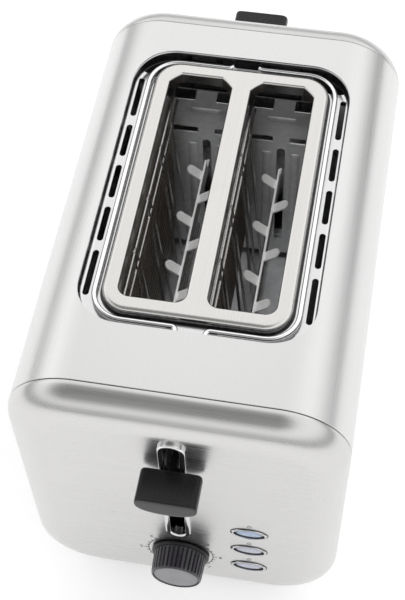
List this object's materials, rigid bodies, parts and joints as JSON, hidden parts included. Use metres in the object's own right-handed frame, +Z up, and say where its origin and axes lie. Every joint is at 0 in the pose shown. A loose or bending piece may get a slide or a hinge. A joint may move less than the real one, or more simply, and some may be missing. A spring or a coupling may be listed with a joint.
{
  "type": "pop up toaster",
  "caption": "Long pop up toaster with brushed steel wrap and caps, bread slots in a recessed top plate, fold-up wire bun rack, front lever, browning dial and lit buttons.",
  "frame": {"origin": "centre of the overall box at the height of the surface it stands on", "axes": "+Y from the control end (front) to the cord end (rear), +X to the right seen from the front, +Z up"},
  "size_m": [0.17, 0.31, 0.199],
  "materials": {
    "brushed_steel": "brushed stainless steel",
    "chrome": "bright chrome plate",
    "galvanised": "dull galvanised sheet",
    "bare_steel": "plain bright steel",
    "black_plastic": "satin black moulding",
    "charcoal_plastic": "glossy charcoal moulding",
    "grey_plastic": "satin grey disc",
    "button_lens": "translucent bluish lens",
    "mica": "flaky mica board",
    "nichrome": "oxidised heating ribbon",
    "rubber": "matt black rubber",
    "circuit_board": "green laminate",
    "copper": "enamelled copper winding"
  },
  "bodies": {
    "housing": {"wrap_shell": "brushed_steel", "front_end_cap": "brushed_steel", "rear_end_cap": "brushed_steel", "base_pan": "black_plastic", "foot_front_left": "rubber", "foot_front_right": "rubber", "foot_rear_left": "rubber", "foot_rear_right": "rubber", "top_recess_pan": "brushed_steel", "slot_plate": "brushed_steel", "chassis_front_plate": "galvanised", "chassis_rear_plate": "galvanised", "reflector_left": "galvanised", "reflector_right": "galvanised", "element_board_left": "mica", "element_board_centre": "mica", "element_board_right": "mica", "element_ribbon_left": "nichrome", "element_ribbon_centre_left": "nichrome", "element_ribbon_centre_right": "nichrome", "element_ribbon_right": "nichrome", "carriage_guide_rod": "bare_steel", "lift_spring": "bare_steel", "lever_slot_bezel": "chrome", "electromagnet_core": "bare_steel", "electromagnet_coil": "copper", "browning_potentiometer": "black_plastic", "control_board": "circuit_board", "stop_button_bezel": "chrome", "stop_button_switch": "black_plastic", "reheat_button_bezel": "chrome", "reheat_button_switch": "black_plastic", "defrost_button_bezel": "chrome", "defrost_button_switch": "black_plastic", "rack_rear_guide": "black_plastic", "rack_front_bearing": "black_plastic", "rack_slot_bezel": "chrome", "cord_gland": "rubber"},
    "carriage": {"bread_carrier_left": "bare_steel", "bread_carrier_right": "bare_steel", "carriage_bracket": "galvanised", "lever_arm": "black_plastic", "lever_knob": "black_plastic", "armature_plate": "bare_steel"},
    "guide_left_outer": {"bread_guide_left_outer": "bare_steel"},
    "guide_left_inner": {"bread_guide_left_inner": "bare_steel"},
    "guide_right_inner": {"bread_guide_right_inner": "bare_steel"},
    "guide_right_outer": {"bread_guide_right_outer": "bare_steel"},
    "browning_dial": {"browning_knob": "charcoal_plastic", "browning_knob_cap": "grey_plastic", "browning_shaft": "bare_steel"},
    "stop_key": {"stop_button": "button_lens"},
    "reheat_key": {"reheat_button": "button_lens"},
    "defrost_key": {"defrost_button": "button_lens"},
    "rack_lever": {"rack_cam_plate": "galvanised", "rack_lever_knob": "black_plastic"},
    "left_wing": {"bun_wing_left": "chrome"},
    "right_wing": {"bun_wing_right": "chrome"},
    "crumb_drawer": {"crumb_tray": "galvanised", "crumb_tray_handle": "black_plastic"}
  },
  "joints": [
    {"name": "carriage_slide", "type": "slide", "parent": "housing", "child": "carriage", "axis": [0, 0, 1], "range_m": [-0.062, 0.0215], "stiffness_N_per_m": 180, "springref_m": 0.0075, "deforming": ["lift_spring"]},
    {"name": "guide_left_outer_hinge", "type": "hinge", "parent": "housing", "child": "guide_left_outer", "pos_m": [-0.031, 0.0095, 0.04], "axis": [0, 1, 0], "range_deg": [-1.6, 4]},
    {"name": "guide_left_inner_hinge", "type": "hinge", "parent": "housing", "child": "guide_left_inner", "pos_m": [-0.014, 0.0095, 0.04], "axis": [0, 1, 0], "range_deg": [-4, 1.6]},
    {"name": "guide_right_inner_hinge", "type": "hinge", "parent": "housing", "child": "guide_right_inner", "pos_m": [0.014, 0.0095, 0.04], "axis": [0, 1, 0], "range_deg": [-1.6, 4]},
    {"name": "guide_right_outer_hinge", "type": "hinge", "parent": "housing", "child": "guide_right_outer", "pos_m": [0.031, 0.0095, 0.04], "axis": [0, 1, 0], "range_deg": [-4, 1.6]},
    {"name": "browning_turn", "type": "hinge", "parent": "housing", "child": "browning_dial", "pos_m": [0, -0.134, 0.049], "axis": [0, 1, 0], "range_deg": [-135, 135]},
    {"name": "stop_press", "type": "slide", "parent": "housing", "child": "stop_key", "axis": [0, 1, 0], "range_m": [0, 0.0015], "stiffness_N_per_m": 400, "springref_m": -0.001},
    {"name": "reheat_press", "type": "slide", "parent": "housing", "child": "reheat_key", "axis": [0, 1, 0], "range_m": [0, 0.0015], "stiffness_N_per_m": 400, "springref_m": -0.001},
    {"name": "defrost_press", "type": "slide", "parent": "housing", "child": "defrost_key", "axis": [0, 1, 0], "range_m": [0, 0.0015], "stiffness_N_per_m": 400, "springref_m": -0.001},
    {"name": "rack_lever_slide", "type": "slide", "parent": "housing", "child": "rack_lever", "axis": [0, 0, -1], "range_m": [0, 0.015]},
    {"name": "left_wing_hinge", "type": "hinge", "parent": "housing", "child": "left_wing", "pos_m": [-0.0075, 0, 0.1934], "axis": [0, 1, 0], "range_deg": [0, 50.1]},
    {"name": "right_wing_hinge", "type": "hinge", "parent": "housing", "child": "right_wing", "pos_m": [0.0075, 0, 0.1934], "axis": [0, -1, 0], "range_deg": [0, 50.1]},
    {"name": "crumb_tray_slide", "type": "slide", "parent": "housing", "child": "crumb_drawer", "axis": [0, 1, 0], "range_m": [0, 0.2]}
  ],
  "couplings": [
    {"joint": "guide_left_outer_hinge", "follows": "carriage_slide", "rad_per_m": -1.1},
    {"joint": "guide_left_inner_hinge", "follows": "carriage_slide", "rad_per_m": 1.1},
    {"joint": "guide_right_inner_hinge", "follows": "carriage_slide", "rad_per_m": -1.1},
    {"joint": "guide_right_outer_hinge", "follows": "carriage_slide", "rad_per_m": 1.1},
    {"joint": "left_wing_hinge", "follows": "rack_lever_slide", "rad_per_m": 58.178},
    {"joint": "right_wing_hinge", "follows": "rack_lever_slide", "rad_per_m": 58.178}
  ]
}
